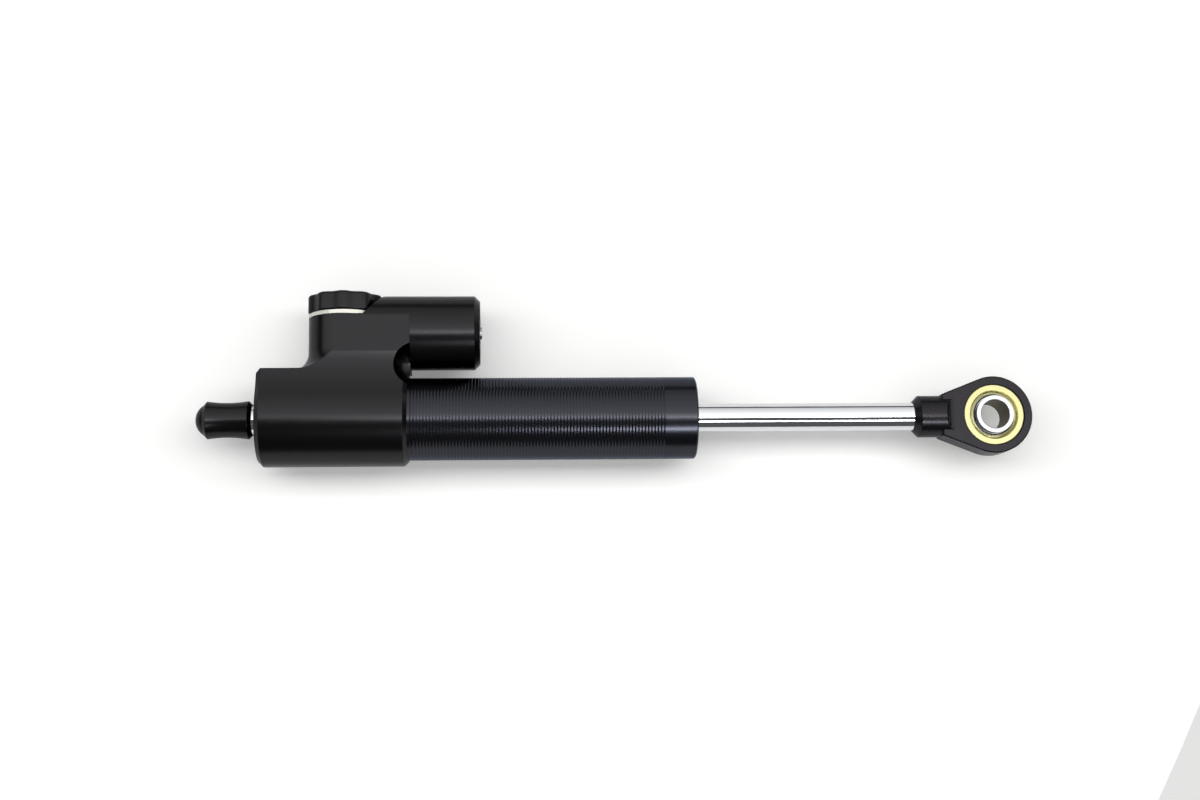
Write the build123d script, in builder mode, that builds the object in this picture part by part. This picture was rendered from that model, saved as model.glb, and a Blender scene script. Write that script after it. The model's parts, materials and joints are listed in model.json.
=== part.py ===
# Motorcycle steering damper with a through rod, an adjuster knob and a side reservoir.
# The frame's origin is on the damper axis, halfway along the exposed barrel, where a clamp goes.
# +X points along the axis to the rod eye, +Y to the reservoir, and +Z along the eye's bolt.
from build123d import *
from math import acos, atan2, cos, hypot, isclose, pi, sin, sqrt
import os

# Driving sizes of the damper, in millimetres
stroke = 75.0
rod_radius = 5.0
eye_gap = 2.8
barrel_exposed = 100.3
head_length = 51.6
running_clearance = 0.05
moving_gap = 0.3
overrun = 1.0

# Tubes round the piston, each from the one inside it
liner_bore_radius = 9.5
liner_wall = 1.2
annulus_gap = 1.0
barrel_thread_wall = 1.7
barrel_shoulder = 1.05
barrel_chamfer = 0.5
head_wall = 3.05

liner_radius = liner_bore_radius + liner_wall
barrel_bore_radius = liner_radius + annulus_gap
barrel_thread_radius = barrel_bore_radius + barrel_thread_wall
barrel_radius = barrel_thread_radius + barrel_shoulder
head_radius = barrel_thread_radius + head_wall
running_rod_radius = rod_radius + running_clearance
free_rod_radius = rod_radius + moving_gap

# Stations along the axis that follow from the driving sizes
barrel_front_x = barrel_exposed / 2
head_front_x = -barrel_exposed / 2
head_back_x = head_front_x - head_length

# Billet head: round socket, coved block with two flats, neck and reservoir
reservoir_radius = 13.05
reservoir_over_barrel = 3.1
reservoir_past_head = 25.0
reservoir_chamfer = 1.9
reservoir_wall = 2.75
reservoir_bore_length = 27.6
flat_from_side = 0.75
cove_radius = 25.0
crease_under_axis = 8.4
pad_under_crown = 0.15
head_back_chamfer = 1.6
head_front_chamfer = 1.4
neck_behind_socket = 1.15
neck_radius = 12.8
neck_over_axis = 4.8
flare_radius = 7.0
block_past_head = 0.8
scoop_radius = 7.5
scoop_past_head = 2.8
scoop_rise = 0.15
socket_depth = 21.0
annulus_depth = 4.0
valve_bore_radius = 6.5
valve_bore_depth = 19.9
port_radius = 1.1
chamber_port_offset = 4.5

reservoir_y = barrel_radius + reservoir_over_barrel + reservoir_radius
reservoir_bore_radius = reservoir_radius - reservoir_wall
reservoir_end_x = head_front_x + reservoir_past_head
reservoir_bore_x = reservoir_end_x - reservoir_bore_length
flat_z = reservoir_radius - flat_from_side
crease_y = reservoir_y - crease_under_axis
pad_top_y = head_radius - pad_under_crown
scoop_y = reservoir_y - reservoir_radius + scoop_rise
socket_floor_x = head_front_x - socket_depth
annulus_floor_x = socket_floor_x - annulus_depth
neck_x = socket_floor_x - neck_behind_socket
neck_top_y = reservoir_y + neck_over_axis
valve_bore_floor_y = neck_top_y - valve_bore_depth
block_end_x = head_front_x + block_past_head
return_port_x = (socket_floor_x + annulus_floor_x) / 2
chamber_port_y = (free_rod_radius + liner_bore_radius) / 2

# Seals and bushes round the rod, alike at both ends
clip_inset = 1.1
clip_thickness = 1.2
clip_depth = 0.7
clip_band = 2.2
clip_opening = 3.0
wiper_length = 3.0
wiper_lip = 0.9
wiper_lip_band = 1.0
seal_length = 4.0
seal_wall = 3.0
bush_wall = 2.0
bush_length = 9.0
gland_length = 16.0
gland_spigot = 3.0
o_ring_section = 0.6

seal_radius = rod_radius + seal_wall
bush_radius = rod_radius + bush_wall
gland_front_x = barrel_front_x - clip_inset - clip_thickness
gland_back_x = gland_front_x - gland_length
chamber_front_x = gland_back_x - gland_spigot

# Piston on the rod
piston_length = 8.0
end_clearance = 1.5
band_width = 4.0
band_groove_depth = 1.0
band_slit = 0.8
rod_clip_width = 1.0
rod_clip_stand = 1.4
rod_clip_seat = 0.6

piston_radius = liner_bore_radius - moving_gap
band_seat_radius = piston_radius - band_groove_depth
rod_clip_radius = rod_radius + rod_clip_stand
rod_groove_radius = rod_radius - rod_clip_seat
chamber_length = stroke + piston_length + 2 * end_clearance
chamber_back_x = chamber_front_x - chamber_length
piston_front_x = chamber_front_x - end_clearance
piston_back_x = piston_front_x - piston_length
piston_middle_x = (piston_front_x + piston_back_x) / 2
boss_end_x = chamber_back_x - gland_spigot

# Cap on the free end of the rod
rod_shoulder = 1.0
cap_gap = 2.3
cap_length = 19.6
cap_nose_length = 2.9
cap_nose_radius = 5.3
cap_nose_middle = 1.0
cap_nose_middle_radius = 3.5
cap_shoulder = 4.05
cap_shoulder_stand = 1.6
cap_waist_stand = 1.05
cap_rim_stand = 1.7
cap_rim_chamfer = 1.25
cap_thread_length = 12.0

rod_thread_radius = rod_radius - rod_shoulder
cap_shoulder_radius = rod_radius + cap_shoulder_stand
cap_waist_radius = rod_radius + cap_waist_stand
cap_rim_radius = rod_radius + cap_rim_stand
cap_face_x = head_back_x - cap_gap
cap_tip_x = cap_face_x - cap_length

# Rod eye and its spherical bearing
eye_bore_radius = 5.0
eye_bore_chamfer = 0.25
ball_radius = 9.0
ball_width = 12.2
race_wall = 1.9
race_width = 9.0
race_chamfer = 0.3
eye_wall = 2.8
eye_thickness = 10.0
eye_edge = 0.4
eye_neck_wall = 2.4
eye_neck_chamfer = 2.1
eye_neck_length = 9.9
eye_centre_reach = 28.5
flat_reach = 14.6
runout_radius = 4.0
rod_seat_depth = 2.0
eye_thread_depth = 15.5

race_radius = ball_radius + race_wall
eye_radius = race_radius + eye_wall
eye_neck_radius = rod_radius + eye_neck_wall
eye_face_x = barrel_front_x + stroke + eye_gap
eye_x = eye_face_x + eye_centre_reach

# Adjuster: index ring, knob, spool and sleeve
knob_radius = 13.3
knob_height = 6.55
knob_edge = 0.6
knob_gap = 0.25
knob_side_gap = 0.7
lobe_count = 10
flute_radius = 1.1
flute_depth = 0.8
index_ring_thickness = 1.3
index_ring_stand = 0.1
track_radius = 9.6
track_inset = 2.6
track_clearance = 0.1
stem_radius = 2.5
knob_boss_wall = 2.5
knob_recess_radius = 4.0
knob_recess_depth = 2.3
knob_screw_gap = 0.2
knob_screw_height = 1.9
knob_screw_shank = 1.5
knob_screw_length = 6.0
hex_socket_half = 1.3
hex_socket_depth = 1.3
spool_wall = 1.0
spool_foot_gap = 1.0
sleeve_height = 11.5
cross_port_height = 5.5
cross_port_radius = 1.0
stem_seal_depth = 1.8
plunger_radius = 1.5
plunger_length = 4.6
plunger_drop = 0.6

knob_pocket_radius = knob_radius + knob_side_gap
index_ring_radius = neck_radius + index_ring_stand
index_ring_bore_radius = track_radius - track_inset
knob_floor_y = neck_top_y + index_ring_thickness + knob_gap
knob_top_y = knob_floor_y + knob_height
knob_boss_radius = stem_radius + knob_boss_wall
spool_radius = stem_radius + spool_wall
sleeve_top_y = valve_bore_floor_y + sleeve_height
stem_top_y = knob_top_y - knob_recess_depth
plunger_y = neck_top_y + index_ring_thickness + plunger_radius - plunger_drop

# Reservoir: cap, bleed screw and floating piston
reservoir_cap_length = 7.0
spanner_hole_radius = 1.0
spanner_hole_depth = 2.0
spanner_hole_inset = 3.8
bleed_head_radius = 2.2
bleed_head_proud = 0.65
bleed_shank_radius = 1.5
bleed_length = 6.0
bleed_socket_half = 0.9
compensator_length = 7.0
compensator_from_floor = 6.5
small_ring_section = 0.5
reservoir_port_drop = 4.6

reservoir_port_y = reservoir_y - reservoir_port_drop
spanner_hole_offset = reservoir_bore_radius - spanner_hole_inset
cap_back_x = reservoir_end_x - reservoir_cap_length
compensator_x = reservoir_bore_x + compensator_from_floor
compensator_radius = reservoir_bore_radius - running_clearance


def export(piece, name):
    """Labels a finished piece and writes it as one STEP file."""
    piece.part.label = name
    export_step(piece.part, f"parts/{name}.step")


def arc_middle(centre, start, end):
    """The point halfway round an arc, from its centre and its two ends."""
    radius = hypot(start[0] - centre[0], start[1] - centre[1])
    middle = (start[0] + end[0] - 2 * centre[0], start[1] + end[1] - 2 * centre[1])
    stretch = radius / hypot(middle[0], middle[1])
    return (centre[0] + middle[0] * stretch, centre[1] + middle[1] * stretch)


def head_profile(plane, top_y):
    """The head seen along the axis: a circle whose block meets it in a cove on each side."""
    reach = head_radius + cove_radius
    crease_distance = hypot(crease_y, flat_z)
    lean = (reach ** 2 + crease_distance ** 2 - cove_radius ** 2) / (2 * reach * crease_distance)
    turn = atan2(crease_y, flat_z) - acos(lean)
    join = (head_radius * sin(turn), head_radius * cos(turn))
    crease = (crease_y, flat_z)
    middle = arc_middle((reach * sin(turn), reach * cos(turn)), join, crease)
    with BuildSketch(plane) as profile:
        with BuildLine():
            ThreePointArc(join, middle, crease)
            Polyline(crease, (top_y, flat_z), (top_y, -flat_z), (crease_y, -flat_z))
            ThreePointArc((crease_y, -flat_z), (middle[0], -middle[1]), (join[0], -join[1]))
            Line((join[0], -join[1]), join)
        make_face()
        Circle(head_radius)
    return profile.sketch


def neck_plane(height):
    """A plane square to the neck at this height, facing up it, with x running back along the damper."""
    return Plane(origin=(neck_x, height, 0), x_dir=(-1, 0, 0), z_dir=(0, 1, 0))


def hex_points(across):
    """The corners of a hexagon socket, from half its width across flats."""
    corner = across / cos(pi / 6)
    return [(corner * cos(k * pi / 3), corner * sin(k * pi / 3)) for k in range(6)]


os.makedirs("parts", exist_ok=True)
block_top_y = reservoir_y + reservoir_radius
head_section = head_profile(Plane.YZ.offset(head_back_x), block_top_y)

# Head body, machined from one billet
with BuildPart() as head_body:
    with BuildSketch(Plane.YZ.offset(head_back_x)):
        with Locations(((pad_top_y - head_radius) / 2, 0)):
            Rectangle(pad_top_y + head_radius, 2 * head_radius)
    extrude(amount=head_length)
    with BuildSketch(Plane(origin=(neck_x, 0, 0))):
        flare_edge = neck_radius + flare_radius
        with BuildLine():
            Polyline((-neck_radius, pad_top_y + flare_radius), (-neck_radius, neck_top_y), (0, neck_top_y),
                     (0, 0), (-flare_edge, 0), (-flare_edge, pad_top_y))
            RadiusArc((-flare_edge, pad_top_y), (-neck_radius, pad_top_y + flare_radius), -flare_radius)
        make_face()
    revolve(axis=Axis((neck_x, 0, 0), (0, 1, 0)))
    with BuildSketch(Plane.YZ.offset(neck_x)):
        with Locations((reservoir_y / 2, 0)):
            Rectangle(reservoir_y, 2 * head_radius)
        with Locations((reservoir_y, 0)):
            Circle(reservoir_radius)
    extrude(amount=head_front_x - neck_x)
    with BuildSketch(Plane.YZ.offset(head_front_x)):
        with Locations(((pad_top_y + reservoir_y) / 2, 0)):
            Rectangle(reservoir_y - pad_top_y, 2 * head_radius)
        with Locations((reservoir_y, 0)):
            Circle(reservoir_radius)
    extrude(amount=block_past_head)
    extrude(head_section, amount=block_end_x - head_back_x, mode=Mode.INTERSECT)

    # Pocket that the knob turns in
    with BuildSketch(neck_plane(neck_top_y)):
        Circle(knob_pocket_radius)
    extrude(amount=block_top_y, mode=Mode.SUBTRACT)

    # The chamfers at the head's two ends
    chamfer(head_body.faces().sort_by(Axis.X)[0].edges(), length=head_back_chamfer)
    round_edges = head_body.edges().filter_by(GeomType.CIRCLE)
    socket_edges = round_edges.filter_by(lambda edge: isclose(edge.radius, head_radius))
    chamfer(socket_edges.group_by(Axis.X)[-1], length=head_front_chamfer)

    # A ball cutter's scoop on each side, where the block meets the reservoir
    with Locations(*[(head_front_x + scoop_past_head, scoop_y, side * flat_z) for side in (-1, 1)]):
        Sphere(scoop_radius, mode=Mode.SUBTRACT)

    # The free end of the reservoir
    with BuildSketch(Plane.YZ.offset(block_end_x)):
        with Locations((reservoir_y, 0)):
            Circle(reservoir_radius)
    extrude(amount=reservoir_end_x - block_end_x)
    chamfer(head_body.faces().sort_by(Axis.X)[-1].edges(), length=reservoir_chamfer)

    # Socket for the barrel, round the boss that holds the liner
    with BuildSketch(Plane.YZ.offset(annulus_floor_x)):
        Circle(barrel_bore_radius)
        Circle(liner_radius, mode=Mode.SUBTRACT)
    extrude(amount=annulus_depth, mode=Mode.SUBTRACT)
    with BuildSketch(Plane.YZ.offset(socket_floor_x)):
        Circle(barrel_thread_radius)
        Circle(liner_radius, mode=Mode.SUBTRACT)
    extrude(amount=boss_end_x - socket_floor_x, mode=Mode.SUBTRACT)
    with BuildSketch(Plane.YZ.offset(boss_end_x)):
        Circle(barrel_thread_radius)
        Circle(liner_bore_radius, mode=Mode.SUBTRACT)
    extrude(amount=gland_spigot, mode=Mode.SUBTRACT)
    with BuildSketch(Plane.YZ.offset(chamber_back_x)):
        Circle(barrel_thread_radius)
    extrude(amount=head_front_x - chamber_back_x, mode=Mode.SUBTRACT)

    # Rod hole, and the pocket for the bush, seal, wiper and clip at the back
    with BuildSketch(Plane.YZ.offset(head_back_x)):
        Circle(free_rod_radius)
    extrude(amount=chamber_back_x - head_back_x, mode=Mode.SUBTRACT)
    rear_clip_x = head_back_x + clip_inset
    rear_wiper_x = rear_clip_x + clip_thickness
    rear_seal_x = rear_wiper_x + wiper_length
    rear_bush_x = rear_seal_x + seal_length
    with BuildSketch(Plane.YZ.offset(head_back_x)):
        Circle(seal_radius)
    extrude(amount=rear_bush_x - head_back_x, mode=Mode.SUBTRACT)
    with BuildSketch(Plane.YZ.offset(rear_clip_x)):
        Circle(seal_radius + clip_depth)
    extrude(amount=clip_thickness, mode=Mode.SUBTRACT)
    with BuildSketch(Plane.YZ.offset(rear_bush_x)):
        Circle(bush_radius)
    extrude(amount=bush_length, mode=Mode.SUBTRACT)

    # Valve bore in the neck, reservoir bore, and the drilled oil ways between them
    with BuildSketch(neck_plane(valve_bore_floor_y)):
        Circle(valve_bore_radius)
    extrude(amount=neck_top_y - valve_bore_floor_y, mode=Mode.SUBTRACT)
    with BuildSketch(Plane.YZ.offset(reservoir_bore_x)):
        with Locations((reservoir_y, 0)):
            Circle(reservoir_bore_radius)
    extrude(amount=reservoir_bore_length, mode=Mode.SUBTRACT)
    with BuildSketch(Plane.YZ.offset(neck_x)):
        with Locations((reservoir_port_y, 0)):
            Circle(port_radius)
    extrude(amount=reservoir_bore_x - neck_x, mode=Mode.SUBTRACT)
    with BuildSketch(Plane.YZ.offset(neck_x - chamber_port_offset)):
        with Locations((chamber_port_y, 0)):
            Circle(port_radius)
    extrude(amount=chamber_back_x - neck_x + chamber_port_offset, mode=Mode.SUBTRACT)
    with BuildSketch(neck_plane(chamber_port_y)):
        with Locations((chamber_port_offset, 0)):
            Circle(port_radius)
    extrude(amount=valve_bore_floor_y - chamber_port_y, mode=Mode.SUBTRACT)
    with BuildSketch(neck_plane(barrel_bore_radius - port_radius)):
        with Locations((neck_x - return_port_x, 0)):
            Circle(port_radius)
    extrude(amount=valve_bore_floor_y - barrel_bore_radius + port_radius, mode=Mode.SUBTRACT)
export(head_body, "head_body")

# Barrel tube, screwed into the head
with BuildPart() as barrel_tube:
    with BuildSketch(Plane.YZ.offset(socket_floor_x)):
        Circle(barrel_thread_radius)
    extrude(amount=socket_depth)
    with BuildSketch(Plane.YZ.offset(head_front_x)):
        Circle(barrel_radius)
    extrude(amount=barrel_exposed)
    chamfer(barrel_tube.faces().sort_by(Axis.X)[-1].edges(), length=barrel_chamfer)
    with BuildSketch(Plane.YZ.offset(socket_floor_x)):
        Circle(barrel_bore_radius)
    extrude(amount=socket_depth + barrel_exposed, mode=Mode.SUBTRACT)
    with BuildSketch(Plane.YZ.offset(gland_front_x)):
        Circle(barrel_bore_radius + clip_depth)
    extrude(amount=clip_thickness, mode=Mode.SUBTRACT)
    with BuildSketch(Plane.YZ.offset(socket_floor_x)):
        Circle(barrel_thread_radius)
        Circle(barrel_thread_radius - 2 * o_ring_section, mode=Mode.SUBTRACT)
    extrude(amount=2 * o_ring_section, mode=Mode.SUBTRACT)
export(barrel_tube, "barrel_tube")

# Seal between the barrel and the bottom of its socket
with BuildPart() as barrel_o_ring:
    with BuildSketch(Plane.XY):
        with Locations((socket_floor_x + o_ring_section, barrel_thread_radius - o_ring_section)):
            Circle(o_ring_section)
    revolve(axis=Axis.X)
export(barrel_o_ring, "barrel_o_ring")

# Inner tube that the piston runs in; the oil returns round its outside
with BuildPart() as cylinder_liner:
    with BuildSketch(Plane.YZ.offset(boss_end_x)):
        Circle(liner_radius)
        Circle(liner_bore_radius, mode=Mode.SUBTRACT)
    extrude(amount=gland_back_x - boss_end_x)
    liner_port_x = chamber_front_x - end_clearance / 2
    with BuildSketch(Plane.XY):
        with Locations((liner_port_x - port_radius, 0)):
            Circle(port_radius)
    extrude(amount=liner_radius, both=True, mode=Mode.SUBTRACT)
export(cylinder_liner, "cylinder_liner")

# Front gland, which closes the barrel round the rod
with BuildPart() as front_gland:
    with BuildSketch(Plane.YZ.offset(gland_back_x)):
        Circle(barrel_bore_radius)
    extrude(amount=gland_length)
    with BuildSketch(Plane.YZ.offset(chamber_front_x)):
        Circle(liner_bore_radius)
    extrude(amount=gland_spigot)
    with BuildSketch(Plane.YZ.offset(chamber_front_x)):
        Circle(free_rod_radius)
    extrude(amount=gland_spigot + gland_length, mode=Mode.SUBTRACT)
    front_wiper_x = gland_front_x - wiper_length
    front_seal_x = front_wiper_x - seal_length
    front_bush_x = front_seal_x - bush_length
    with BuildSketch(Plane.YZ.offset(front_seal_x)):
        Circle(seal_radius)
    extrude(amount=seal_length + wiper_length, mode=Mode.SUBTRACT)
    with BuildSketch(Plane.YZ.offset(front_bush_x)):
        Circle(bush_radius)
    extrude(amount=bush_length, mode=Mode.SUBTRACT)
    gland_groove_x = (gland_front_x + gland_back_x) / 2
    with BuildSketch(Plane.YZ.offset(gland_groove_x - o_ring_section)):
        Circle(barrel_bore_radius)
        Circle(barrel_bore_radius - 2 * o_ring_section, mode=Mode.SUBTRACT)
    extrude(amount=2 * o_ring_section, mode=Mode.SUBTRACT)
export(front_gland, "front_gland")

with BuildPart() as gland_o_ring:
    with BuildSketch(Plane.XY):
        with Locations((gland_groove_x, barrel_bore_radius - o_ring_section)):
            Circle(o_ring_section)
    revolve(axis=Axis.X)
export(gland_o_ring, "gland_o_ring")

# Guide bushes and rod seals at the two ends
for end, bush_x, seal_x in (("front", front_bush_x, front_seal_x), ("rear", rear_bush_x, rear_seal_x)):
    with BuildPart() as guide_bush:
        with BuildSketch(Plane.YZ.offset(bush_x)):
            Circle(bush_radius)
            Circle(running_rod_radius, mode=Mode.SUBTRACT)
        extrude(amount=bush_length)
    export(guide_bush, f"{end}_guide_bush")

    with BuildPart() as rod_seal:
        with BuildSketch(Plane.YZ.offset(seal_x)):
            Circle(seal_radius)
            Circle(running_rod_radius, mode=Mode.SUBTRACT)
        extrude(amount=seal_length)
    export(rod_seal, f"{end}_rod_seal")

# Wipers, each with a lip that leans out along the rod, and the clips that hold them in
for end, wiper_x, out, clip_x, clip_outer in (
    ("front", front_wiper_x, 1, gland_front_x, barrel_bore_radius + clip_depth),
    ("rear", rear_wiper_x + wiper_length, -1, rear_clip_x, seal_radius + clip_depth),
):
    wiper_face_x = wiper_x + out * wiper_length
    lip_face_x = wiper_face_x + out * wiper_lip
    with BuildPart() as wiper:
        with BuildSketch(Plane.XY):
            with BuildLine():
                Polyline((wiper_x, running_rod_radius), (lip_face_x, running_rod_radius),
                         (wiper_face_x, running_rod_radius + wiper_lip_band), (wiper_face_x, seal_radius),
                         (wiper_x, seal_radius), close=True)
            make_face()
        revolve(axis=Axis.X)
    export(wiper, f"{end}_wiper")

    with BuildPart() as circlip:
        with BuildSketch(Plane.YZ.offset(clip_x)):
            Circle(clip_outer)
            Circle(clip_outer - clip_band, mode=Mode.SUBTRACT)
            with Locations((-clip_outer, 0)):
                Rectangle(2 * clip_band + 2 * overrun, clip_opening, mode=Mode.SUBTRACT)
        extrude(amount=clip_thickness)
    export(circlip, f"{end}_circlip")

# Rod, one chromed bar from the cap to the eye
with BuildPart() as piston_rod:
    with BuildSketch(Plane.YZ.offset(cap_face_x)):
        Circle(rod_radius)
    extrude(amount=eye_face_x + rod_seat_depth - cap_face_x)
    with BuildSketch(Plane.YZ.offset(cap_face_x - cap_thread_length)):
        Circle(rod_thread_radius)
    extrude(amount=cap_thread_length + eye_face_x - cap_face_x + eye_thread_depth)
    for groove_x in (piston_back_x - rod_clip_width, piston_front_x):
        with BuildSketch(Plane.YZ.offset(groove_x)):
            Circle(rod_radius)
            Circle(rod_groove_radius, mode=Mode.SUBTRACT)
        extrude(amount=rod_clip_width, mode=Mode.SUBTRACT)
export(piston_rod, "piston_rod")

# Piston, held on the rod between two clips
with BuildPart() as piston:
    with BuildSketch(Plane.YZ.offset(piston_back_x)):
        Circle(piston_radius)
        Circle(rod_radius, mode=Mode.SUBTRACT)
    extrude(amount=piston_length)
    with BuildSketch(Plane.YZ.offset(piston_middle_x - band_width / 2 - running_clearance)):
        Circle(piston_radius)
        Circle(band_seat_radius, mode=Mode.SUBTRACT)
    extrude(amount=band_width + 2 * running_clearance, mode=Mode.SUBTRACT)
export(piston, "piston")

for end, groove_x in (("front", piston_front_x), ("rear", piston_back_x - rod_clip_width)):
    with BuildPart() as rod_clip:
        with BuildSketch(Plane.YZ.offset(groove_x)):
            Circle(rod_clip_radius)
            Circle(rod_groove_radius, mode=Mode.SUBTRACT)
            with Locations((-rod_clip_radius, 0)):
                Rectangle(rod_clip_radius, clip_opening, mode=Mode.SUBTRACT)
        extrude(amount=rod_clip_width)
    export(rod_clip, f"piston_clip_{end}")

# Split band in the piston's groove, which slides in the liner while the rod turns inside it
with BuildPart() as piston_band:
    with BuildSketch(Plane.YZ.offset(piston_middle_x - band_width / 2)):
        Circle(liner_bore_radius - running_clearance)
        Circle(band_seat_radius + running_clearance, mode=Mode.SUBTRACT)
        with Locations((liner_bore_radius, 0)):
            Rectangle(band_seat_radius, band_slit, mode=Mode.SUBTRACT)
    extrude(amount=band_width)
export(piston_band, "piston_band")

# Waisted cap on the rod's free end
with BuildPart() as rod_end_cap:
    cap_shoulder_x = cap_tip_x + cap_shoulder
    cap_rim_x = cap_face_x - cap_rim_chamfer
    with BuildSketch(Plane.XY):
        with BuildLine():
            ThreePointArc((cap_tip_x, 0), (cap_tip_x + cap_nose_middle, cap_nose_middle_radius),
                          (cap_tip_x + cap_nose_length, cap_nose_radius))
            Line((cap_tip_x + cap_nose_length, cap_nose_radius), (cap_shoulder_x, cap_shoulder_radius))
            ThreePointArc((cap_shoulder_x, cap_shoulder_radius),
                          ((cap_shoulder_x + cap_rim_x) / 2, cap_waist_radius), (cap_rim_x, cap_rim_radius))
            Polyline((cap_rim_x, cap_rim_radius), (cap_face_x, cap_rim_radius - cap_rim_chamfer),
                     (cap_face_x, rod_thread_radius), (cap_face_x - cap_thread_length, rod_thread_radius),
                     (cap_face_x - cap_thread_length, 0), (cap_tip_x, 0))
        make_face()
    revolve(axis=Axis.X)
export(rod_end_cap, "rod_end_cap")

# Rod eye: round neck, tangent flares and a ring with two milled flats
with BuildPart() as rod_eye:
    neck_back = eye_centre_reach - eye_neck_length
    corner_distance = hypot(neck_back, eye_neck_radius)
    corner_angle = atan2(eye_neck_radius, -neck_back)
    tangent_angle = corner_angle - acos(eye_radius / corner_distance)
    tangent = (eye_radius * cos(tangent_angle), eye_radius * sin(tangent_angle))
    with BuildSketch(Plane(origin=(eye_x, 0, 0))):
        Circle(eye_radius)
        with BuildLine():
            Polyline((-neck_back, eye_neck_radius), tangent, (tangent[0], -tangent[1]),
                     (-neck_back, -eye_neck_radius), close=True)
        make_face()
    extrude(amount=eye_thickness / 2, both=True)
    chamfer(rod_eye.faces().sort_by(Axis.Z)[0].edges(), length=eye_edge)
    chamfer(rod_eye.faces().sort_by(Axis.Z)[-1].edges(), length=eye_edge)
    with BuildSketch(Plane.XY):
        with BuildLine():
            Polyline((eye_face_x, 0), (eye_face_x, eye_neck_radius - eye_neck_chamfer),
                     (eye_face_x + eye_neck_chamfer, eye_neck_radius),
                     (eye_face_x + flat_reach, eye_neck_radius), (eye_face_x + flat_reach, 0), close=True)
        make_face()
    revolve(axis=Axis.X)
    runout = sqrt(runout_radius ** 2 - (runout_radius - eye_neck_radius + eye_thickness / 2) ** 2)
    for side in (-1, 1):
        flat = side * eye_thickness / 2
        crest = side * eye_neck_radius
        flat_x = eye_face_x + flat_reach
        middle = arc_middle((flat_x, flat + side * runout_radius), (flat_x - runout, crest), (flat_x, flat))
        with BuildSketch(Plane.XZ):
            with BuildLine():
                ThreePointArc((flat_x - runout, crest), middle, (flat_x, flat))
                Polyline((flat_x, flat), (flat_x + overrun, flat), (flat_x + overrun, crest),
                         (flat_x - runout, crest))
            make_face()
        extrude(amount=eye_radius, both=True, mode=Mode.SUBTRACT)
    with BuildSketch(Plane(origin=(eye_x, 0, 0))):
        Circle(race_radius)
    extrude(amount=eye_thickness, both=True, mode=Mode.SUBTRACT)
    with BuildSketch(Plane.YZ.offset(eye_face_x)):
        Circle(rod_radius)
    extrude(amount=rod_seat_depth, mode=Mode.SUBTRACT)
    with BuildSketch(Plane.YZ.offset(eye_face_x)):
        Circle(rod_thread_radius)
    extrude(amount=eye_thread_depth, mode=Mode.SUBTRACT)
export(rod_eye, "rod_eye")

# Race of the spherical bearing, pressed into the eye
with BuildPart() as eye_race:
    cup_radius = ball_radius + running_clearance
    lip_z = race_width / 2 - race_chamfer
    lip_r = sqrt(cup_radius ** 2 - lip_z ** 2)
    with BuildSketch(Plane(origin=(eye_x, 0, 0), x_dir=(1, 0, 0), z_dir=(0, -1, 0))):
        with BuildLine():
            Polyline((lip_r, -lip_z), (lip_r + race_chamfer, -race_width / 2), (race_radius, -race_width / 2),
                     (race_radius, race_width / 2), (lip_r + race_chamfer, race_width / 2), (lip_r, lip_z))
            ThreePointArc((lip_r, lip_z), (cup_radius, 0), (lip_r, -lip_z))
        make_face()
    revolve(axis=Axis((eye_x, 0, 0), (0, 0, 1)))
export(eye_race, "eye_race")

# Ball of the bearing, bored for the bolt
with BuildPart() as eye_ball:
    face_z = ball_width / 2
    face_r = sqrt(ball_radius ** 2 - face_z ** 2)
    bore_z = face_z - eye_bore_chamfer
    with BuildSketch(Plane(origin=(eye_x, 0, 0), x_dir=(1, 0, 0), z_dir=(0, -1, 0))):
        with BuildLine():
            Polyline((face_r, face_z), (eye_bore_radius + eye_bore_chamfer, face_z), (eye_bore_radius, bore_z),
                     (eye_bore_radius, -bore_z), (eye_bore_radius + eye_bore_chamfer, -face_z),
                     (face_r, -face_z))
            ThreePointArc((face_r, -face_z), (ball_radius, 0), (face_r, face_z))
        make_face()
    revolve(axis=Axis((eye_x, 0, 0), (0, 0, 1)))
export(eye_ball, "eye_ball")

# Index ring under the knob, with the round track that the click plunger runs in
with BuildPart() as index_ring:
    with BuildSketch(neck_plane(neck_top_y)):
        Circle(index_ring_radius)
        Circle(index_ring_bore_radius, mode=Mode.SUBTRACT)
    extrude(amount=index_ring_thickness)
    with BuildSketch(Plane(origin=(neck_x, 0, 0))):
        with Locations((-track_radius, plunger_y)):
            Circle(plunger_radius + track_clearance)
    revolve(axis=Axis((neck_x, 0, 0), (0, 1, 0)), mode=Mode.SUBTRACT)
export(index_ring, "index_ring")

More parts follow.
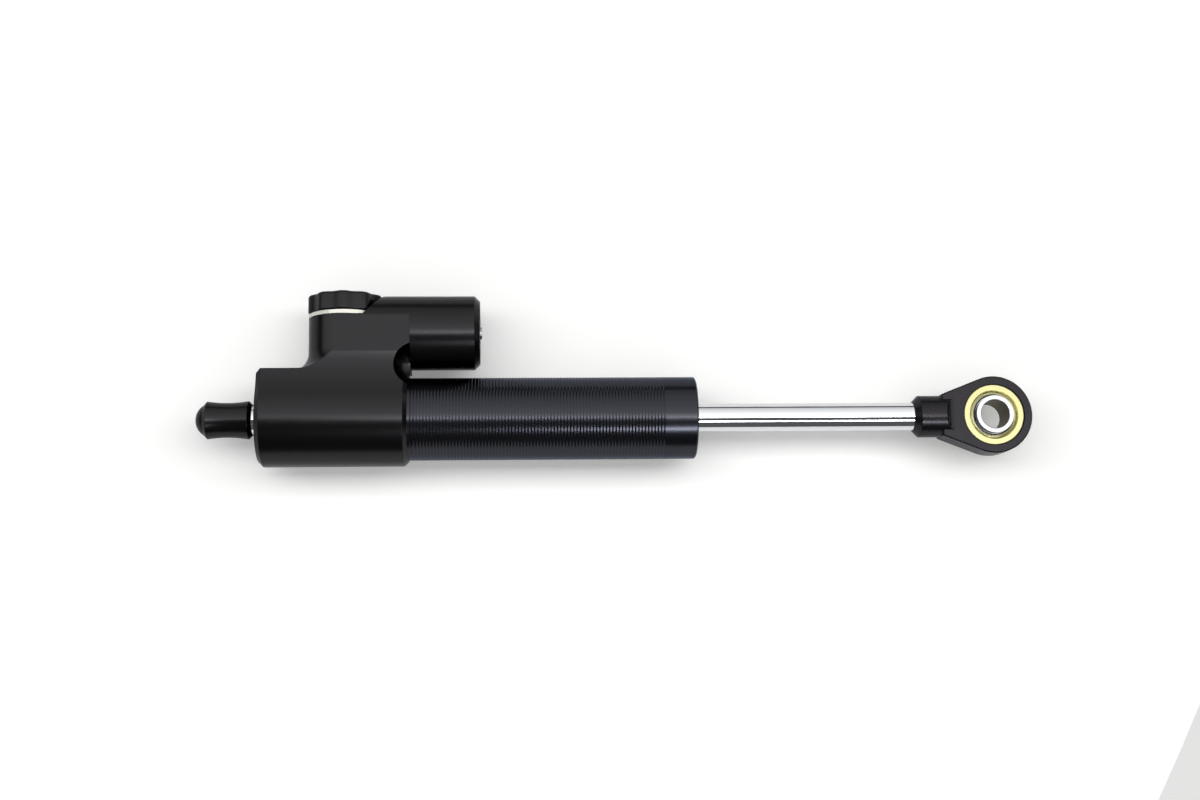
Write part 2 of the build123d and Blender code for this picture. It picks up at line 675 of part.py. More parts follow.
# Adjuster knob, with a lobe facing the eye bolt's direction
with BuildPart() as adjuster_knob:
    with BuildSketch(neck_plane(knob_floor_y)):
        Circle(knob_radius)
    extrude(amount=knob_height)
    chamfer(adjuster_knob.faces().sort_by(Axis.Y)[-1].edges(), length=knob_edge)
    flute_place = knob_radius + flute_radius - flute_depth
    lobe_step = 360 / lobe_count
    with BuildSketch(neck_plane(knob_floor_y)):
        with PolarLocations(flute_place, lobe_count, start_angle=90 + lobe_step / 2):
            Circle(flute_radius)
    extrude(amount=knob_height, mode=Mode.SUBTRACT)
    with BuildSketch(neck_plane(neck_top_y + moving_gap)):
        Circle(knob_boss_radius)
    extrude(amount=knob_floor_y - neck_top_y - moving_gap)
    with BuildSketch(neck_plane(neck_top_y)):
        Circle(stem_radius)
    extrude(amount=stem_top_y - neck_top_y, mode=Mode.SUBTRACT)
    with BuildSketch(neck_plane(stem_top_y)):
        Circle(knob_recess_radius)
    extrude(amount=knob_recess_depth, mode=Mode.SUBTRACT)
    with BuildSketch(neck_plane(knob_floor_y)):
        with Locations((track_radius, 0)):
            Circle(plunger_radius)
    extrude(amount=plunger_y + plunger_length - knob_floor_y, mode=Mode.SUBTRACT)
export(adjuster_knob, "adjuster_knob")

# Click plunger in the knob, a threaded body with a ball nose
with BuildPart() as click_plunger:
    with BuildSketch(Plane(origin=(neck_x - track_radius, plunger_y, 0))):
        with BuildLine():
            Polyline((0, -plunger_radius), (0, plunger_length), (plunger_radius, plunger_length),
                     (plunger_radius, 0))
            RadiusArc((plunger_radius, 0), (0, -plunger_radius), plunger_radius)
        make_face()
    revolve(axis=Axis((neck_x - track_radius, plunger_y, 0), (0, 1, 0)))
export(click_plunger, "click_plunger")

# Screw that holds the knob on the spool's stem
with BuildPart() as knob_screw:
    with BuildSketch(neck_plane(stem_top_y)):
        Circle(knob_recess_radius - knob_screw_gap)
    extrude(amount=knob_screw_height)
    with BuildSketch(neck_plane(stem_top_y - knob_screw_length)):
        Circle(knob_screw_shank)
    extrude(amount=knob_screw_length)
    with BuildSketch(neck_plane(stem_top_y + knob_screw_height - hex_socket_depth)):
        Polygon(*hex_points(hex_socket_half), align=None)
    extrude(amount=hex_socket_depth, mode=Mode.SUBTRACT)
export(knob_screw, "knob_screw")

# Metering spool, turned by the knob inside the sleeve
with BuildPart() as metering_spool:
    spool_floor_y = valve_bore_floor_y + spool_foot_gap
    with BuildSketch(neck_plane(spool_floor_y)):
        Circle(spool_radius)
    extrude(amount=sleeve_top_y - moving_gap - spool_floor_y)
    with BuildSketch(neck_plane(spool_floor_y)):
        Circle(stem_radius)
    extrude(amount=stem_top_y - spool_floor_y)
    with BuildSketch(neck_plane(stem_top_y - knob_screw_length)):
        Circle(knob_screw_shank)
    extrude(amount=knob_screw_length, mode=Mode.SUBTRACT)
    with BuildSketch(Plane.YZ.offset(neck_x)):
        with Locations((valve_bore_floor_y + cross_port_height, 0)):
            Circle(cross_port_radius)
    extrude(amount=spool_radius, both=True, mode=Mode.SUBTRACT)
export(metering_spool, "metering_spool")

# Sleeve that the spool meters the oil against
with BuildPart() as valve_sleeve:
    with BuildSketch(neck_plane(valve_bore_floor_y)):
        Circle(valve_bore_radius)
        Circle(spool_radius + running_clearance, mode=Mode.SUBTRACT)
    extrude(amount=sleeve_height)
    with BuildSketch(Plane.YZ.offset(neck_x)):
        with Locations((valve_bore_floor_y + cross_port_height, 0)):
            Circle(cross_port_radius)
    extrude(amount=valve_bore_radius, both=True, mode=Mode.SUBTRACT)
export(valve_sleeve, "valve_sleeve")

# Gland over the sleeve, with the seal round the stem
with BuildPart() as valve_gland:
    with BuildSketch(neck_plane(sleeve_top_y)):
        Circle(valve_bore_radius)
        Circle(stem_radius + running_clearance, mode=Mode.SUBTRACT)
    extrude(amount=neck_top_y - sleeve_top_y)
    with BuildSketch(neck_plane(sleeve_top_y)):
        Circle(stem_radius + running_clearance + stem_seal_depth)
    extrude(amount=stem_seal_depth, mode=Mode.SUBTRACT)
export(valve_gland, "valve_gland")

with BuildPart() as stem_o_ring:
    stem_ring_x = neck_x + stem_radius + running_clearance + stem_seal_depth / 2
    with BuildSketch(Plane.XY):
        with Locations((stem_ring_x, sleeve_top_y + stem_seal_depth / 2)):
            Circle(stem_seal_depth / 2)
    revolve(axis=Axis((neck_x, 0, 0), (0, 1, 0)))
export(stem_o_ring, "stem_o_ring")

# Cap in the reservoir's mouth, with two spanner holes and the bleed screw
reservoir_axis = Axis((reservoir_end_x, reservoir_y, 0), (1, 0, 0))
with BuildPart() as reservoir_cap:
    with BuildSketch(Plane.YZ.offset(cap_back_x)):
        with Locations((reservoir_y, 0)):
            Circle(reservoir_bore_radius)
            Circle(bleed_shank_radius, mode=Mode.SUBTRACT)
    extrude(amount=reservoir_cap_length)
    with BuildSketch(Plane.YZ.offset(reservoir_end_x - spanner_hole_depth)):
        with Locations((reservoir_y - spanner_hole_offset, 0), (reservoir_y + spanner_hole_offset, 0)):
            Circle(spanner_hole_radius)
    extrude(amount=spanner_hole_depth, mode=Mode.SUBTRACT)
    with BuildSketch(Plane.YZ.offset(cap_back_x + reservoir_cap_length / 2 - small_ring_section)):
        with Locations((reservoir_y, 0)):
            Circle(reservoir_bore_radius)
            Circle(reservoir_bore_radius - 2 * small_ring_section, mode=Mode.SUBTRACT)
    extrude(amount=2 * small_ring_section, mode=Mode.SUBTRACT)
export(reservoir_cap, "reservoir_cap")

with BuildPart() as reservoir_o_ring:
    with BuildSketch(Plane.XY):
        with Locations((cap_back_x + reservoir_cap_length / 2,
                        reservoir_y + reservoir_bore_radius - small_ring_section)):
            Circle(small_ring_section)
    revolve(axis=reservoir_axis)
export(reservoir_o_ring, "reservoir_o_ring")

with BuildPart() as bleed_screw:
    with BuildSketch(Plane.YZ.offset(reservoir_end_x - bleed_length)):
        with Locations((reservoir_y, 0)):
            Circle(bleed_shank_radius)
    extrude(amount=bleed_length)
    with BuildSketch(Plane.YZ.offset(reservoir_end_x)):
        with Locations((reservoir_y, 0)):
            Circle(bleed_head_radius)
    extrude(amount=bleed_head_proud)
    with BuildSketch(Plane.YZ.offset(reservoir_end_x)):
        with Locations((reservoir_y, 0)):
            Polygon(*hex_points(bleed_socket_half), align=None)
    extrude(amount=-bleed_head_proud, mode=Mode.SUBTRACT)
    with BuildSketch(Plane.YZ.offset(reservoir_end_x)):
        with Locations((reservoir_y, 0)):
            Polygon(*hex_points(bleed_socket_half), align=None)
    extrude(amount=bleed_head_proud, mode=Mode.SUBTRACT)
export(bleed_screw, "bleed_screw")

# Floating piston between the oil and the gas
with BuildPart() as compensator_piston:
    with BuildSketch(Plane.YZ.offset(compensator_x)):
        with Locations((reservoir_y, 0)):
            Circle(compensator_radius)
    extrude(amount=compensator_length)
    with BuildSketch(Plane.YZ.offset(compensator_x + compensator_length / 2 - small_ring_section)):
        with Locations((reservoir_y, 0)):
            Circle(compensator_radius)
            Circle(compensator_radius - 2 * small_ring_section, mode=Mode.SUBTRACT)
    extrude(amount=2 * small_ring_section, mode=Mode.SUBTRACT)
export(compensator_piston, "compensator_piston")

with BuildPart() as compensator_o_ring:
    with BuildSketch(Plane.XY):
        with Locations((compensator_x + compensator_length / 2,
                        reservoir_y + compensator_radius - small_ring_section)):
            Circle(small_ring_section)
    revolve(axis=reservoir_axis)
export(compensator_o_ring, "compensator_o_ring")
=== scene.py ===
"""Looks of a motorcycle steering damper: satin black anodised billet head, fine-turned
barrel, chromed rod, brass-raced rod eye, on a white table under a large soft light."""

import json
import math

import bmesh
import bpy
from mathutils import Matrix, Vector


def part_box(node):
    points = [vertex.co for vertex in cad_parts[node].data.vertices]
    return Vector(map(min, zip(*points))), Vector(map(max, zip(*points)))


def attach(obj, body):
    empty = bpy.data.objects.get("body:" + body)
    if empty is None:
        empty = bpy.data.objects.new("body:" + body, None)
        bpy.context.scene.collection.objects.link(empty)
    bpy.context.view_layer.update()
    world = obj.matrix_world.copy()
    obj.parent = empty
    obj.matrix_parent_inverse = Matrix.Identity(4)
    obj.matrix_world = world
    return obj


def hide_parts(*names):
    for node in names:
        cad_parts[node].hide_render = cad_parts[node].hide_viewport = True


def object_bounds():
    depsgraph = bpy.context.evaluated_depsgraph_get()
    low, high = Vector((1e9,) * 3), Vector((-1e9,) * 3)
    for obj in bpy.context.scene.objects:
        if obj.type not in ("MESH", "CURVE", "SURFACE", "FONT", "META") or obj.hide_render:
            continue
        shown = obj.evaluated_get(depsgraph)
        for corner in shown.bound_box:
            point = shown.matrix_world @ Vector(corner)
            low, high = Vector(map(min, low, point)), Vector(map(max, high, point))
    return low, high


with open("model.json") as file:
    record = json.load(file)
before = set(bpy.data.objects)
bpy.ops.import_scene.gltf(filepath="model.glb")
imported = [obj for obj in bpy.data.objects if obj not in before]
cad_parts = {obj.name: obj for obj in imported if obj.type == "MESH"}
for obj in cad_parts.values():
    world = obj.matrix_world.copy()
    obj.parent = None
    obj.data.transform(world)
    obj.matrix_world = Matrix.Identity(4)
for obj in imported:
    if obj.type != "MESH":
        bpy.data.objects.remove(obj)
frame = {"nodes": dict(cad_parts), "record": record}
NODES = frame["nodes"]
CAD_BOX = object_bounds()

MM = 0.001


# Camera, in millimetres of the damper's frame and pixels of a 1200 x 800 picture
CAMERA_AT = Vector((-17.5, -84.04, 570.0))
CAMERA_AIM = Vector((16.9, 6.56, 0.0))
CAMERA_ROLL = -0.0142
FOCAL_PIXELS = 1640.0
PICTURE_WIDTH = 1200
SENSOR_MM = 36.0
CLIP_NEAR = 10.0
CLIP_FAR = 20000.0


def make_camera():
    """A camera above the table, leaning a little from the near side, as in the photograph."""
    data = bpy.data.cameras.new("camera")
    data.sensor_width = SENSOR_MM
    data.lens = FOCAL_PIXELS * SENSOR_MM / PICTURE_WIDTH
    data.clip_start = CLIP_NEAR * MM
    data.clip_end = CLIP_FAR * MM
    forward = (CAMERA_AIM - CAMERA_AT).normalized()
    right = forward.cross(Vector((0, 1, 0))).normalized()
    up = right.cross(forward)
    turn = Matrix.Rotation(-CAMERA_ROLL, 3, forward)
    right, up = turn @ right, turn @ up
    camera = bpy.data.objects.new("camera", data)
    camera.matrix_world = Matrix((
        (right.x, up.x, -forward.x, CAMERA_AT.x * MM),
        (right.y, up.y, -forward.y, CAMERA_AT.y * MM),
        (right.z, up.z, -forward.z, CAMERA_AT.z * MM),
        (0, 0, 0, 1),
    ))
    bpy.context.collection.objects.link(camera)
    bpy.context.scene.camera = camera


# The lamps hang level over the damper. Angles are in degrees from straight up at the
# damper, positive to the far side, and x runs in metres along it. The lamps that
# reflections show make one big light, whose near edge is bright and hangs above the camera,
# so that round forms turn dark just below the line that faces it. It dims towards the far
# wall. Over the right half, a strip hangs on the near side.
LAMP_HEIGHT = 0.80
REFLECTED_LAMPS = (
    # name, near angle, far angle, left end, right end, radiance
    ("edge", -8.0, -4.0, -0.13, 0.6, 9.0),
    ("ceiling_0", -4.0, 3.0, -2.4, 2.4, 2.3),
    ("ceiling_1", 3.0, 22.0, -2.4, 2.4, 1.25),
    ("ceiling_2", 22.0, 40.0, -2.4, 2.4, 1.0),
    ("ceiling_3", 40.0, 60.0, -2.4, 2.4, 0.8),
    ("ceiling_4", 60.0, 77.0, -2.4, 2.4, 0.6),
    ("near_strip", -42.0, -35.0, 0.03, 0.7, 14.0),
)
WHITE_LIGHT = (1, 1, 1)
STRIP_TINT = (0.90, 0.93, 1.0)

# The lamps that light colours and the table, which reflections don't show
LIGHTING_LAMPS = (
    ("key", 0.0, 25.0, -1.2, 1.2, 4.8),
    ("fill", -55.0, 55.0, -1.5, 1.5, 0.58),
)


def hang_lamp(name, near_deg, far_deg, left, right, radiance, tint=WHITE_LIGHT):
    """A level lamp that fills these angles, whose face has this radiance, where 1 is white."""
    near, far = (LAMP_HEIGHT * math.tan(math.radians(a)) for a in (near_deg, far_deg))
    data = bpy.data.lights.new(name, "AREA")
    data.shape = "RECTANGLE"
    data.size, data.size_y = right - left, far - near
    data.energy = radiance * math.pi * data.size * data.size_y
    data.color = tint
    lamp = bpy.data.objects.new(name, data)
    lamp.location = ((left + right) / 2, (near + far) / 2, LAMP_HEIGHT)
    lamp.visible_camera = False
    bpy.context.collection.objects.link(lamp)
    return lamp


def make_lights():
    """Lamps for reflections alone, and lamps for everything but reflections."""
    for name, *place in REFLECTED_LAMPS:
        tint = STRIP_TINT if name == "near_strip" else WHITE_LIGHT
        hang_lamp(name, *place, tint).visible_diffuse = False
    for name, *place in LIGHTING_LAMPS:
        hang_lamp(name, *place).visible_glossy = False


# The table is white to the camera, and only part of that is a glow, so that the damper's
# shadow stays. Reflections show it with hardly any glow
FLOOR_SIDE = 8.0
TABLE_WHITE = (0.88, 0.88, 0.8668, 1)
CAMERA_GLOW = 0.22
MIRRORED_GLOW = 0.03
WORLD_COLOR = (0.96, 0.98, 1.0, 1)
WORLD_LEVEL = 0.10


def new_material(name):
    """An empty node material with its output."""
    material = bpy.data.materials.new(name)
    material.use_nodes = True
    tree = material.node_tree
    tree.nodes.clear()
    return material, tree, tree.nodes.new("ShaderNodeOutputMaterial")


def math_node(tree, operation, first, second):
    """A maths node on two numbers or sockets."""
    node = tree.nodes.new("ShaderNodeMath")
    node.operation = operation
    for socket, value in zip(node.inputs, (first, second)):
        if isinstance(value, bpy.types.NodeSocket):
            tree.links.new(value, socket)
        else:
            socket.default_value = value
    return node.outputs[0]


def table_material():
    """Matt white that glows a little for the camera."""
    material, tree, output = new_material("table_white")
    nodes, links = tree.nodes, tree.links
    diffuse = nodes.new("ShaderNodeBsdfDiffuse")
    diffuse.inputs["Color"].default_value = TABLE_WHITE
    path = nodes.new("ShaderNodeLightPath").outputs
    mirrored = math_node(tree, "MAXIMUM", path["Is Glossy Ray"], path["Is Transmission Ray"])
    strength = math_node(tree, "ADD", math_node(tree, "MULTIPLY", path["Is Camera Ray"], CAMERA_GLOW),
                         math_node(tree, "MULTIPLY", mirrored, MIRRORED_GLOW))
    glow = nodes.new("ShaderNodeEmission")
    links.new(strength, glow.inputs["Strength"])
    both = nodes.new("ShaderNodeAddShader")
    links.new(diffuse.outputs[0], both.inputs[0])
    links.new(glow.outputs[0], both.inputs[1])
    links.new(both.outputs[0], output.inputs["Surface"])
    return material


def make_floor():
    """The table, level with the damper's lowest point."""
    low = CAD_BOX[0].z
    half = FLOOR_SIDE / 2
    mesh = bpy.data.meshes.new("floor")
    corners = [(-half, -half, low), (half, -half, low), (half, half, low), (-half, half, low)]
    mesh.from_pydata(corners, [], [(0, 1, 2, 3)])
    floor = bpy.data.objects.new("floor", mesh)
    bpy.context.collection.objects.link(floor)
    mesh.materials.append(table_material())


def make_world():
    """Dim, even light from all round."""
    world = bpy.data.worlds.new("studio")
    bpy.context.scene.world = world
    world.use_nodes = True
    background = world.node_tree.nodes["Background"]
    background.inputs["Color"].default_value = WORLD_COLOR
    background.inputs["Strength"].default_value = WORLD_LEVEL


NOISE_DETAIL = 3.0
BEVEL_SAMPLES = 6


class Finish:
    """A Principled material with the procedural texture that machined parts have."""

    def __init__(self, name, color, metallic, roughness):
        self.material, self.tree, output = new_material(name)
        self.nodes, self.links = self.tree.nodes, self.tree.links
        self.shader = self.nodes.new("ShaderNodeBsdfPrincipled")
        self.links.new(self.shader.outputs[0], output.inputs["Surface"])
        self.set("Base Color", (*color, 1))
        self.set("Metallic", metallic)
        self.set("Roughness", roughness)
        self.color, self.roughness = color, roughness
        self.place = self.nodes.new("ShaderNodeTexCoord").outputs["Object"]
        self.normal = None

    def set(self, socket, value):
        """Sets a number or colour that is the same all over."""
        self.shader.inputs[socket].default_value = value

    def stretched(self, scale):
        """Object coordinates scaled on each axis, in features per metre."""
        mapping = self.nodes.new("ShaderNodeMapping")
        mapping.inputs["Scale"].default_value = scale
        self.links.new(self.place, mapping.inputs["Vector"])
        return mapping.outputs["Vector"]

    def noise(self, scale):
        """Noise whose features are 1/scale metres across; a tuple stretches it."""
        each = scale if isinstance(scale, tuple) else (scale,) * 3
        texture = self.nodes.new("ShaderNodeTexNoise")
        texture.inputs["Scale"].default_value = 1.0
        texture.inputs["Detail"].default_value = NOISE_DETAIL
        self.links.new(self.stretched(each), texture.inputs["Vector"])
        return texture.outputs["Fac"]

    def between(self, factor, low, high):
        """A number that follows a 0 to 1 factor from low to high."""
        ramp = self.nodes.new("ShaderNodeMapRange")
        ramp.inputs["To Min"].default_value = low
        ramp.inputs["To Max"].default_value = high
        self.links.new(factor, ramp.inputs["Value"])
        return ramp.outputs["Result"]

    def vary_roughness(self, scale, spread):
        """Roughness that wanders by this much each way."""
        result = self.between(self.noise(scale), self.roughness - spread, self.roughness + spread)
        self.links.new(result, self.shader.inputs["Roughness"])

    def mix_color(self, factor, other):
        """Colour that goes from the base to another with this factor."""
        mix = self.nodes.new("ShaderNodeMix")
        mix.data_type = "RGBA"
        mix.inputs["A"].default_value = (*self.color, 1)
        mix.inputs["B"].default_value = (*other, 1)
        self.links.new(factor, mix.inputs["Factor"])
        self.links.new(mix.outputs["Result"], self.shader.inputs["Base Color"])

    def vary_color(self, scale, other):
        """Colour that wanders between the base and another."""
        self.mix_color(self.noise(scale), other)

    def soften_edges(self, radius):
        """Shades sharp edges as if broken by this radius, in metres."""
        bevel = self.nodes.new("ShaderNodeBevel")
        bevel.samples = BEVEL_SAMPLES
        bevel.inputs["Radius"].default_value = radius
        self.normal = bevel.outputs["Normal"]
        self.links.new(self.normal, self.shader.inputs["Normal"])

    def bump(self, scale, height):
        """Fine relief of this height in metres."""
        bump = self.nodes.new("ShaderNodeBump")
        bump.inputs["Distance"].default_value = height
        self.links.new(self.noise(scale), bump.inputs["Height"])
        if self.normal is not None:
            self.links.new(self.normal, bump.inputs["Normal"])
        self.normal = bump.outputs["Normal"]
        self.links.new(self.normal, self.shader.inputs["Normal"])


# Black anodising mirrors this much face on, and this share of all light at grazing angles
BLACK = (0.0305, 0.0300, 0.0315)
BLACK_GRAZING = (0.72, 0.72, 0.74, 1)
EYE_BLACK = (0.0315, 0.0298, 0.0325)
TUBE_BLACK = (0.0435, 0.0447, 0.0525)
TUBE_GRAZING = (0.60, 0.62, 0.68, 1)
TONE_CHANGE = 1.1


def anodised(name, color=BLACK, roughness=0.24, edge=0.00025):
    """Satin black anodising on bead-blasted aluminium."""
    finish = Finish(name, color, metallic=1.0, roughness=roughness)
    finish.set("Specular Tint", BLACK_GRAZING)
    finish.vary_roughness(scale=900.0, spread=0.03)
    finish.vary_color(scale=120.0, other=tuple(c * TONE_CHANGE for c in color))
    finish.soften_edges(edge)
    finish.bump(scale=9000.0, height=0.0000005)
    return finish


def turned_black():
    """The barrel's anodising, shinier than the head's and faintly violet."""
    finish = Finish("tube_anodised", TUBE_BLACK, metallic=1.0, roughness=0.22)
    finish.set("Specular Tint", TUBE_GRAZING)
    finish.vary_roughness(scale=(9000.0, 150.0, 150.0), spread=0.05)
    finish.bump(scale=(14000.0, 300.0, 300.0), height=0.000001)
    return finish


# Grinding marks sway the roughness by this share of itself
GRINDING_SHARE = 0.3


def polished(name, color, roughness, edge=0.0001):
    """Polished or plated metal with faint grinding marks."""
    finish = Finish(name, color, metallic=1.0, roughness=roughness)
    finish.vary_roughness(scale=(300.0, 6000.0, 6000.0), spread=roughness * GRINDING_SHARE)
    finish.soften_edges(edge)
    return finish


# The eye's bolt hole is reamed, so rougher inside, and its wall is coloured dark brown as painted
# shade; sizes in millimetres from its axis
BOLT_HOLE_RADIUS = 5.0
BOLT_HOLE_EDGE = 0.15
DULL_STEEL_WITH_PAINTED_SHADE = (0.24, 0.215, 0.17)
DULL_ROUGHNESS = 0.5


def ball_finish():
    """Polished ball whose hole is rougher, and coloured darker there as painted shade."""
    finish = polished("ball_chrome", (0.80, 0.80, 0.85), roughness=0.07)
    tree = finish.tree
    low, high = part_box("eye_ball")
    centre = (low + high) / 2
    split = finish.nodes.new("ShaderNodeSeparateXYZ")
    finish.links.new(finish.place, split.inputs[0])
    across = math_node(tree, "SUBTRACT", split.outputs["X"], centre.x)
    aside = math_node(tree, "SUBTRACT", split.outputs["Y"], centre.y)
    squares = [math_node(tree, "MULTIPLY", side, side) for side in (across, aside)]
    from_axis = math_node(tree, "SQRT", math_node(tree, "ADD", *squares), 0)
    inside = math_node(tree, "LESS_THAN", from_axis, (BOLT_HOLE_RADIUS + BOLT_HOLE_EDGE) * MM)
    # Painted shade: the hole's wall takes a dark brown colour, standing in for the shade that falls
    # inside it
    finish.mix_color(inside, DULL_STEEL_WITH_PAINTED_SHADE)
    roughness = finish.between(inside, finish.roughness, DULL_ROUGHNESS)
    finish.links.new(roughness, finish.shader.inputs["Roughness"])
    return finish


def cream_enamel():
    """The index ring's cream, a little uneven."""
    finish = Finish("index_cream", (0.95, 0.93, 0.82), metallic=0.0, roughness=0.45)
    finish.vary_color(scale=400.0, other=(0.97, 0.95, 0.88))
    finish.vary_roughness(scale=2000.0, spread=0.05)
    finish.bump(scale=6000.0, height=0.000002)
    return finish


def seal_rubber():
    """Moulded black rubber."""
    finish = Finish("seal_rubber", (0.012, 0.012, 0.012), metallic=0.0, roughness=0.6)
    finish.vary_roughness(scale=2500.0, spread=0.08)
    finish.bump(scale=7000.0, height=0.000004)
    return finish


def band_plastic():
    """The piston band's filled plastic, flecked with bronze."""
    finish = Finish("band_plastic", (0.16, 0.13, 0.09), metallic=0.0, roughness=0.5)
    finish.vary_color(scale=3000.0, other=(0.24, 0.19, 0.12))
    finish.vary_roughness(scale=2500.0, spread=0.08)
    return finish


def make_materials():
    """One finish for each material slot of the part."""
    made = {
        "head_anodised": anodised("head_anodised"),
        "knob_anodised": anodised("knob_anodised", roughness=0.30, edge=0.0003),
        "cap_anodised": anodised("cap_anodised", roughness=0.25),
        "plug_anodised": anodised("plug_anodised", roughness=0.3),
        "eye_anodised": anodised("eye_anodised", EYE_BLACK, roughness=0.27, edge=0.0003),
        "tube_anodised": turned_black(),
        "rod_chrome": polished("rod_chrome", (0.83, 0.84, 0.86), roughness=0.05),
        "ball_chrome": ball_finish(),
        "race_brass": polished("race_brass", (0.64, 0.61, 0.305), roughness=0.28, edge=0.0002),
        "screw_steel": polished("screw_steel", (0.62, 0.62, 0.64), roughness=0.25),
        "spool_steel": polished("spool_steel", (0.6, 0.6, 0.62), roughness=0.2),
        "clip_steel": polished("clip_steel", (0.2, 0.2, 0.22), roughness=0.35),
        "bare_aluminium": polished("bare_aluminium", (0.78, 0.78, 0.8), roughness=0.3),
        "bush_bronze": polished("bush_bronze", (0.55, 0.36, 0.18), roughness=0.35),
        "index_cream": cream_enamel(),
        "seal_rubber": seal_rubber(),
        "band_plastic": band_plastic(),
    }
    return {name: finish.material for name, finish in made.items()}


SHARP_EDGE = math.radians(28)
LATHE_SHARP_EDGE = math.radians(18)


def dress_nodes(materials):
    """Gives each CAD node the finish of its slot, and smooth shading between real edges."""
    for part in frame["record"]["subparts"]:
        data = NODES[part["node"]].data
        data.materials.clear()
        data.materials.append(materials[part["material_slot"]])
        data.shade_smooth()
        data.set_sharp_from_angle(angle=SHARP_EDGE)


def round_section(radius, angle):
    """The radius of a plain turned piece, the same all the way round."""
    return radius


def lathe(name, profile, steps, place=Matrix(), section=round_section):
    """A mesh turned from (along, radius) points in metres, the last joined to the first.

    It turns about X, where the section gives the radius at each angle, and is then placed.
    """
    mesh = bmesh.new()
    rings = []
    for k in range(steps):
        angle = 2 * math.pi * k / steps
        ring = []
        for along, radius in profile:
            reach = section(radius, angle)
            point = Vector((along, reach * math.cos(angle), reach * math.sin(angle)))
            ring.append(mesh.verts.new(place @ point))
        rings.append(ring)
    for k in range(steps):
        here, there = rings[k], rings[(k + 1) % steps]
        for i in range(len(profile)):
            j = (i + 1) % len(profile)
            mesh.faces.new((here[i], here[j], there[j], there[i]))
    bmesh.ops.recalc_face_normals(mesh, faces=mesh.faces)
    data = bpy.data.meshes.new(name)
    mesh.to_mesh(data)
    mesh.free()
    data.shade_smooth()
    data.set_sharp_from_angle(angle=LATHE_SHARP_EDGE)
    piece = bpy.data.objects.new(name, data)
    bpy.context.collection.objects.link(piece)
    return piece


# Fine turning on the barrel, in millimetres: plain lands between sharp grooves, which stop
# short of the end, and a chamfer there
GROOVE_PITCH = 1.12
GROOVE_WIDTH = 0.50
GROOVE_DEPTH = 0.13
PLAIN_BAND = 11.5
END_CHAMFER = 0.5
BARREL_STEPS = 160


def barrel_profile():
    """The barrel's section: outside with its turned grooves, then back through the bore."""
    _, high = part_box("barrel_tube")
    _, gland_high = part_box("front_gland")
    start, end, outer, bore = -high.x, high.x, high.y, gland_high.y
    pitch, half, depth = GROOVE_PITCH * MM, GROOVE_WIDTH * MM / 2, GROOVE_DEPTH * MM
    points = [(start, bore), (start, outer)]
    middle = start + pitch
    while middle + half < end - PLAIN_BAND * MM:
        points += [(middle - half, outer), (middle, outer - depth), (middle + half, outer)]
        middle += pitch
    edge = END_CHAMFER * MM
    return points + [(end - edge, outer), (end, outer - edge), (end, bore)]


def make_barrel(materials):
    """The grooved barrel."""
    barrel = lathe("barrel_turned", barrel_profile(), BARREL_STEPS)
    barrel.data.materials.append(materials["tube_anodised"])
    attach(barrel, "barrel")
    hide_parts("barrel_tube")


# The race's flat face, its steep inner chamfer, its outer edge and its gap to the ball, in
# millimetres
RACE_FACE = 2.2
RACE_CHAMFER_DEPTH = 1.1
RACE_EDGE = 0.35
RACE_CLEARANCE = 0.05
RACE_ARC_STEPS = 12
RACE_STEPS = 160


def race_profile(half_width, radius, ball_radius):
    """The race's section: two flat faces, chamfered inside, and a hollow for the ball."""
    edge = RACE_EDGE * MM
    inner = radius - RACE_FACE * MM
    hollow = ball_radius + RACE_CLEARANCE * MM
    start = half_width - RACE_CHAMFER_DEPTH * MM
    below = [(-half_width, inner), (-half_width, radius - edge), (-half_width + edge, radius)]
    above = [(-along, reach) for along, reach in reversed(below)]
    arc = [start - 2 * start * k / RACE_ARC_STEPS for k in range(RACE_ARC_STEPS + 1)]
    return below + above + [(along, math.sqrt(hollow ** 2 - along ** 2)) for along in arc]


def make_race(materials):
    """The brass-coloured race round the ball."""
    low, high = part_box("eye_race")
    ball_low, ball_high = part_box("eye_ball")
    half_width, radius = (high.z - low.z) / 2, (high.x - low.x) / 2
    profile = race_profile(half_width, radius, (ball_high.x - ball_low.x) / 2)
    place = Matrix.Translation((low + high) / 2) @ Matrix.Rotation(-math.pi / 2, 4, "Y")
    race = lathe("race_turned", profile, RACE_STEPS, place)
    race.data.materials.append(materials["race_brass"])
    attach(race, "rod")
    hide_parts("eye_race")


# The knob, in millimetres: soft lobes round its rim, one facing up, a rounded top edge and
# a recess for its screw, over a boss that the spool's stem passes through
LOBES = 10
LOBE_DEPTH = 1.0
KNOB_HEIGHT = 6.55
KNOB_ROUND = 1.1
KNOB_ROUND_STEPS = 6
KNOB_FOOT = 0.4
KNOB_RECESS_RADIUS = 4.0
KNOB_RECESS_DEPTH = 2.3
KNOB_BOSS_RADIUS = 5.0
KNOB_BORE = 2.5
KNOB_STEPS = 240
PLUNGER_HOLE_STEPS = 48
CUT_OVERRUN = 1.0


def lobed_section(radius, angle):
    """The knob's radius: lobed at the rim, round at the recess and the boss."""
    if radius <= KNOB_BOSS_RADIUS * MM:
        return radius
    dip = (1 - math.cos(LOBES * (angle - math.pi / 2))) / 2
    return radius - LOBE_DEPTH * MM * dip


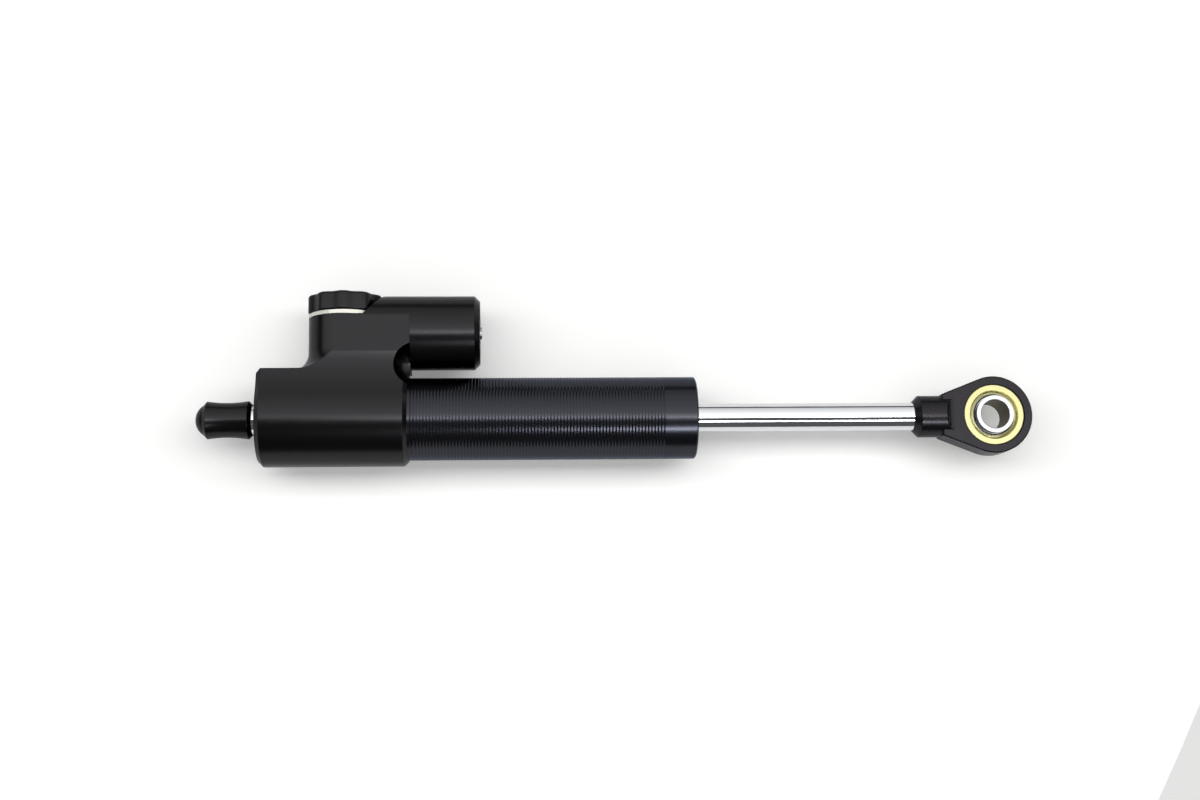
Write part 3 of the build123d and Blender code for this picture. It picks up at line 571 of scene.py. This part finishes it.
def knob_profile(radius, boss_depth):
    """The knob's section, from its boss up, where 0 is the floor of the rim."""
    height, turn, foot = KNOB_HEIGHT * MM, KNOB_ROUND * MM, KNOB_FOOT * MM
    boss, bore, recess = KNOB_BOSS_RADIUS * MM, KNOB_BORE * MM, KNOB_RECESS_RADIUS * MM
    recess_floor = height - KNOB_RECESS_DEPTH * MM
    profile = [(-boss_depth, bore), (-boss_depth, boss), (0, boss), (0, radius - foot), (foot, radius)]
    for k in range(KNOB_ROUND_STEPS + 1):
        angle = math.pi / 2 * k / KNOB_ROUND_STEPS
        profile.append((height - turn + turn * math.sin(angle), radius - turn + turn * math.cos(angle)))
    return profile + [(height, recess), (recess_floor, recess), (recess_floor, bore)]


def cut_plunger_hole(knob, floor_y):
    """Opens the hole under the knob that its click plunger screws into."""
    low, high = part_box("click_plunger")
    bottom = floor_y - CUT_OVERRUN * MM
    middle = Vector(((low.x + high.x) / 2, (bottom + high.y) / 2, (low.z + high.z) / 2))
    place = Matrix.Translation(middle) @ Matrix.Rotation(math.pi / 2, 4, "X")
    radius = (high.x - low.x) / 2
    mesh = bmesh.new()
    bmesh.ops.create_cone(mesh, cap_ends=True, segments=PLUNGER_HOLE_STEPS, radius1=radius,
                          radius2=radius, depth=high.y - bottom, matrix=place)
    data = bpy.data.meshes.new("plunger_cutter")
    mesh.to_mesh(data)
    mesh.free()
    cutter = bpy.data.objects.new("plunger_cutter", data)
    bpy.context.collection.objects.link(cutter)
    knob.modifiers.new("plunger_hole", "BOOLEAN").object = cutter
    graph = bpy.context.evaluated_depsgraph_get()
    knob.data = bpy.data.meshes.new_from_object(knob.evaluated_get(graph))
    knob.modifiers.clear()
    bpy.data.objects.remove(cutter)
    knob.data.shade_smooth()
    knob.data.set_sharp_from_angle(angle=LATHE_SHARP_EDGE)


def make_knob(materials):
    """The lobed adjuster knob, standing on the index ring."""
    low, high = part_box("adjuster_knob")
    ring_low, ring_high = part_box("index_ring")
    floor_y = high.y - KNOB_HEIGHT * MM
    profile = knob_profile((high.z - low.z) / 2, floor_y - low.y)
    floor_centre = Vector(((ring_low.x + ring_high.x) / 2, floor_y, (low.z + high.z) / 2))
    place = Matrix.Translation(floor_centre) @ Matrix.Rotation(math.pi / 2, 4, "Z")
    knob = lathe("knob_lobed", profile, KNOB_STEPS, place, lobed_section)
    cut_plunger_hole(knob, floor_y)
    knob.data.materials.append(materials["knob_anodised"])
    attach(knob, "knob")
    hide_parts("adjuster_knob")


bpy.context.scene.view_settings.view_transform = "Standard"
make_camera()
make_lights()
make_floor()
make_world()
MATERIALS = make_materials()
dress_nodes(MATERIALS)
make_barrel(MATERIALS)
make_race(MATERIALS)
make_knob(MATERIALS)
